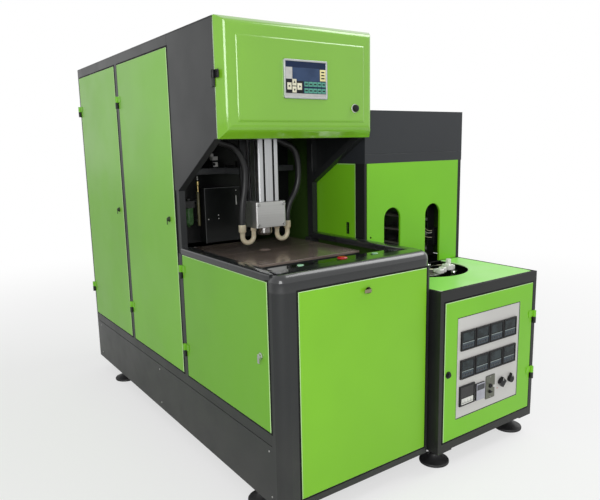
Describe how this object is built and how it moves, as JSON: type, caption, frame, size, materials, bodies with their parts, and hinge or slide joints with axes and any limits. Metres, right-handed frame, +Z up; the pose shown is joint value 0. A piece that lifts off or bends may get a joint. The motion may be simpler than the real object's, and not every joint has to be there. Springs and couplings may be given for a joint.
{
  "type": "blow moulding machine",
  "caption": "Semi-automatic bottle blower with a clamped mould under a control head, standing beside its preform heater with lamp racks and a spindle loop.",
  "frame": {"origin": "middle of the footprint of both units, on the floor", "axes": "+X to the right along the fronts, +Y from the operator side to the back, +Z up"},
  "size_m": [1.426, 2.2232, 1.862],
  "materials": {
    "anodised": "anodised extrusion",
    "black_gloss": "gloss black enamel",
    "black_plastic": "black moulded plastic",
    "bowl_plastic": "tinted bowl and brass stem",
    "chrome": "bright chrome",
    "cover_green": "glossy green enamel",
    "dark_paint": "satin dark grey enamel",
    "frame_steel": "satin grey enamel",
    "green_paint": "glossy green enamel",
    "ground_steel": "ground steel",
    "hose_rubber": "black hose",
    "lamp_green": "translucent green cap",
    "light_grey": "light grey enamel",
    "mould_metal": "machined aluminium",
    "nut_cream": "cream moulded nut",
    "pad_rubber": "black rubber",
    "panel_plastic": "printed film over an aluminium bezel",
    "red_plastic": "red moulded plastic",
    "reflector": "polished reflector and quartz lamps",
    "table_green": "pale green enamel",
    "white_ceramic": "glazed white ceramic",
    "wire_beige": "braided beige sleeve"
  },
  "bodies": {
    "machine": {"foot_pads": "pad_rubber", "foot_studs": "ground_steel", "bed_frame": "frame_steel", "cabinet_frame": "frame_steel", "bed_skins": "dark_paint", "bed_rims": "dark_paint", "button_shelf": "black_gloss", "head_shell": "dark_paint", "fixed_panels": "green_paint", "bay_structure": "black_gloss", "air_service_unit": "bowl_plastic", "slide_bed": "ground_steel", "blow_cylinder": "anodised", "blow_block": "mould_metal", "air_hoses": "hose_rubber", "hose_elbows": "nut_cream", "heater_frame": "dark_paint", "tower_front": "green_paint", "tower_panels": "green_paint", "tower_header": "dark_paint", "table_top": "table_green", "preform_track": "ground_steel", "preform_spindles": "ground_steel", "lamp_racks": "reflector", "lamp_wires": "wire_beige", "wire_plugs": "white_ceramic"},
    "rear_door": {"rear_door": "green_paint"},
    "rear_door_lock": {"rear_door_lock": "black_plastic"},
    "middle_door": {"middle_door": "green_paint"},
    "middle_door_lock": {"middle_door_lock": "black_plastic"},
    "bed_door": {"bed_door": "green_paint"},
    "bed_door_lock": {"bed_door_lock": "chrome"},
    "front_panel": {"front_panel": "green_paint"},
    "front_panel_lock": {"front_panel_lock": "chrome"},
    "head_cover": {"head_cover": "cover_green", "operator_panel": "panel_plastic"},
    "cover_knob": {"cover_knob": "black_plastic"},
    "stop_button": {"stop_button": "red_plastic"},
    "start_button_left": {"start_button_left": "lamp_green"},
    "start_button_right": {"start_button_right": "lamp_green"},
    "front_clamp": {"front_platen": "black_gloss", "mould_front": "mould_metal", "deck_front": "black_gloss", "tie_bars": "chrome", "clamp_cylinder": "frame_steel"},
    "rear_clamp": {"rear_platen": "black_gloss", "mould_rear": "mould_metal", "deck_rear": "black_gloss", "clamp_rod": "chrome"},
    "seal_nozzle": {"seal_nozzle": "ground_steel"},
    "stretch_rod": {"stretch_rod": "chrome"},
    "heater_door": {"heater_door": "green_paint", "instrument_plate": "light_grey", "instruments": "black_plastic"},
    "heater_door_lock": {"heater_door_lock": "black_plastic"},
    "toggle_switch": {"toggle_switch": "chrome"},
    "diamond_knob": {"diamond_knob": "black_plastic"},
    "drop_knob": {"drop_knob": "black_plastic"},
    "front_wheel": {"front_wheel": "ground_steel"},
    "rear_wheel": {"rear_wheel": "ground_steel"}
  },
  "joints": [
    {"name": "rear_door_swing", "type": "hinge", "parent": "machine", "child": "rear_door", "pos_m": [-0.70525, 1.0995, 1.616], "axis": [0, 0, -1], "range_deg": [0, 110]},
    {"name": "rear_door_lock_turn", "type": "hinge", "parent": "rear_door", "child": "rear_door_lock", "pos_m": [-0.69975, 0.5175, 1.07], "axis": [1, 0, 0], "range_deg": [0, 90]},
    {"name": "middle_door_swing", "type": "hinge", "parent": "machine", "child": "middle_door", "pos_m": [-0.70525, 0.4205, 1.625], "axis": [0, 0, -1], "range_deg": [0, 110]},
    {"name": "middle_door_lock_turn", "type": "hinge", "parent": "middle_door", "child": "middle_door_lock", "pos_m": [-0.69975, -0.1595, 1.077], "axis": [1, 0, 0], "range_deg": [0, 90]},
    {"name": "bed_door_swing", "type": "hinge", "parent": "machine", "child": "bed_door", "pos_m": [-0.70525, -0.2595, 0.852], "axis": [0, 0, -1], "range_deg": [0, 110]},
    {"name": "bed_door_lock_turn", "type": "hinge", "parent": "bed_door", "child": "bed_door_lock", "pos_m": [-0.69975, -0.9175, 0.65], "axis": [1, 0, 0], "range_deg": [0, 90]},
    {"name": "front_panel_tilt", "type": "hinge", "parent": "machine", "child": "front_panel", "pos_m": [-0.32175, -1.031, 0.122], "axis": [1, 0, 0], "range_deg": [0, 35]},
    {"name": "front_panel_lock_turn", "type": "hinge", "parent": "front_panel", "child": "front_panel_lock", "pos_m": [-0.29675, -1.0375, 0.851], "axis": [0, -1, 0], "range_deg": [0, 90]},
    {"name": "head_cover_swing", "type": "hinge", "parent": "machine", "child": "head_cover", "pos_m": [-0.70525, -0.6505, 1.64], "axis": [0, 0, -1], "range_deg": [0, 100]},
    {"name": "cover_knob_turn", "type": "hinge", "parent": "head_cover", "child": "cover_knob", "pos_m": [-0.06675, -0.6925, 1.54], "axis": [0, 1, 0], "range_deg": [0, 90]},
    {"name": "stop_press", "type": "slide", "parent": "machine", "child": "stop_button", "axis": [0, 0, -1], "range_m": [0, 0.003], "stiffness_N_per_m": 900, "springref_m": -0.006},
    {"name": "start_left_press", "type": "slide", "parent": "machine", "child": "start_button_left", "axis": [0, 0, -1], "range_m": [0, 0.003], "stiffness_N_per_m": 900, "springref_m": -0.006},
    {"name": "start_right_press", "type": "slide", "parent": "machine", "child": "start_button_right", "axis": [0, 0, -1], "range_m": [0, 0.003], "stiffness_N_per_m": 900, "springref_m": -0.006},
    {"name": "front_clamp_open", "type": "slide", "parent": "machine", "child": "front_clamp", "axis": [0, -1, 0], "range_m": [0, 0.18]},
    {"name": "rear_clamp_open", "type": "slide", "parent": "machine", "child": "rear_clamp", "axis": [0, 1, 0], "range_m": [0, 0.18]},
    {"name": "seal_nozzle_down", "type": "slide", "parent": "machine", "child": "seal_nozzle", "axis": [0, 0, -1], "range_m": [0, 0.065]},
    {"name": "stretch_rod_down", "type": "slide", "parent": "machine", "child": "stretch_rod", "axis": [0, 0, -1], "range_m": [0, 0.47]},
    {"name": "heater_door_swing", "type": "hinge", "parent": "machine", "child": "heater_door", "pos_m": [0.69625, -1.091, 0.576], "axis": [0, 0, 1], "range_deg": [0, 110]},
    {"name": "heater_door_lock_turn", "type": "hinge", "parent": "heater_door", "child": "heater_door_lock", "pos_m": [0.10625, -1.0855, 0.43], "axis": [0, -1, 0], "range_deg": [0, 90]},
    {"name": "toggle_flip", "type": "hinge", "parent": "heater_door", "child": "toggle_switch", "pos_m": [0.39125, -1.086, 0.309], "axis": [1, 0, 0], "range_deg": [0, 32]},
    {"name": "diamond_knob_turn", "type": "hinge", "parent": "heater_door", "child": "diamond_knob", "pos_m": [0.46625, -1.0835, 0.311], "axis": [0, 1, 0], "range_deg": [-90, 90]},
    {"name": "drop_knob_turn", "type": "hinge", "parent": "heater_door", "child": "drop_knob", "pos_m": [0.53325, -1.0835, 0.309], "axis": [0, 1, 0], "range_deg": [-135, 135]},
    {"name": "rear_wheel_spin", "type": "hinge", "parent": "machine", "child": "rear_wheel", "pos_m": [0.36825, 0.5055, 0.72], "axis": [0, 0, 1], "continuous": true},
    {"name": "front_wheel_spin", "type": "hinge", "parent": "machine", "child": "front_wheel", "pos_m": [0.36825, -0.7025, 0.72], "axis": [0, 0, 1], "continuous": true}
  ],
  "couplings": [
    {"joint": "rear_clamp_open", "follows": "front_clamp_open", "ratio": 1},
    {"joint": "front_wheel_spin", "follows": "rear_wheel_spin", "ratio": 1}
  ]
}
